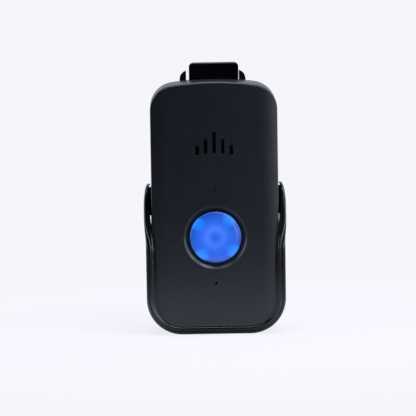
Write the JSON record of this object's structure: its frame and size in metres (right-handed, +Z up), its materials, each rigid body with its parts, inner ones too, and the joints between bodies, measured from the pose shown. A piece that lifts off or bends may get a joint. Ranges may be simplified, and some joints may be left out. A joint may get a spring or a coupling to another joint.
{
  "type": "pager",
  "caption": "Mobile emergency call pager with a blue call button and speaker slots, latched in a holster with a swivelling belt clip.",
  "frame": {"origin": "middle of the holster's underside, in the plane of the back plate's front face where the pager's back lies", "axes": "+Z up along the pager, -Y out of its face, +X to the right seen from the face"},
  "size_m": [0.0462, 0.0338, 0.0873],
  "materials": {
    "graphite_shell": "fine matte texture",
    "graphite_back": "fine matte texture",
    "gloss_black": "glossy",
    "soft_black": "matte",
    "cloth_black": "woven",
    "black_resin": "matte",
    "call_blue": "translucent",
    "lamp_blue": "lit lamp",
    "milk_plastic": "diffusing",
    "board_green": "solder mask",
    "tinned_steel": "satin",
    "gold_plate": "plated",
    "zinc_steel": "satin",
    "foil": "laminated foil",
    "foam_grey": "foam",
    "ceramic_tan": "fired ceramic"
  },
  "bodies": {
    "pager_in_holster": {"front_cover": "graphite_shell", "rear_cover": "graphite_back", "cover_gasket": "soft_black", "cover_screws": "zinc_steel", "button_seal": "soft_black", "call_switch": "tinned_steel", "call_leds": "lamp_blue", "status_lens": "milk_plastic", "status_led": "lamp_blue", "main_board": "board_green", "board_screws": "zinc_steel", "modem_shield": "tinned_steel", "processor_shield": "tinned_steel", "sim_holder": "tinned_steel", "sim_card": "milk_plastic", "speaker_frame": "zinc_steel", "speaker_cone": "black_resin", "speaker_magnet": "tinned_steel", "speaker_gasket": "foam_grey", "speaker_cloth": "cloth_black", "microphone": "tinned_steel", "mic_boot": "soft_black", "vibration_motor": "tinned_steel", "battery": "foil", "battery_pad": "foam_grey", "gps_antenna": "ceramic_tan", "cell_antenna": "black_resin", "charge_contacts": "gold_plate", "holster_shell": "gloss_black", "swivel_washer": "zinc_steel", "swivel_screw": "zinc_steel"},
    "call_button": {"call_button": "call_blue", "button_diffuser": "milk_plastic", "switch_plunger": "black_resin"},
    "latch": {"latch": "gloss_black"},
    "vibration_weight": {"vibration_weight": "zinc_steel"},
    "belt_clip": {"clip_base": "gloss_black", "clip_pin": "zinc_steel", "clip_spring": "tinned_steel"},
    "clip_lever": {"clip_lever": "gloss_black"}
  },
  "joints": [
    {"name": "call_press", "type": "slide", "parent": "pager_in_holster", "child": "call_button", "axis": [0, 1, 0], "range_m": [0, 0.0004], "stiffness_N_per_m": 6000, "springref_m": -0.0001},
    {"name": "latch_flex", "type": "hinge", "parent": "pager_in_holster", "child": "latch", "pos_m": [0, 0.0012, 0.062], "axis": [-1, 0, 0], "range_deg": [0, 11], "stiffness_Nm_per_rad": 1.2, "springref_deg": -1.15},
    {"name": "vibration_spin", "type": "hinge", "parent": "pager_in_holster", "child": "vibration_weight", "pos_m": [0, -0.012, 0.0083], "axis": [1, 0, 0], "continuous": true},
    {"name": "clip_swivel", "type": "hinge", "parent": "pager_in_holster", "child": "belt_clip", "pos_m": [0, 0.0038, 0.044], "axis": [0, 1, 0], "range_deg": [-90, 90]},
    {"name": "clip_open", "type": "hinge", "parent": "belt_clip", "child": "clip_lever", "pos_m": [0, 0.0106, 0.0605], "axis": [1, 0, 0], "range_deg": [0, 14], "stiffness_Nm_per_rad": 0.8, "springref_deg": -5.73}
  ]
}
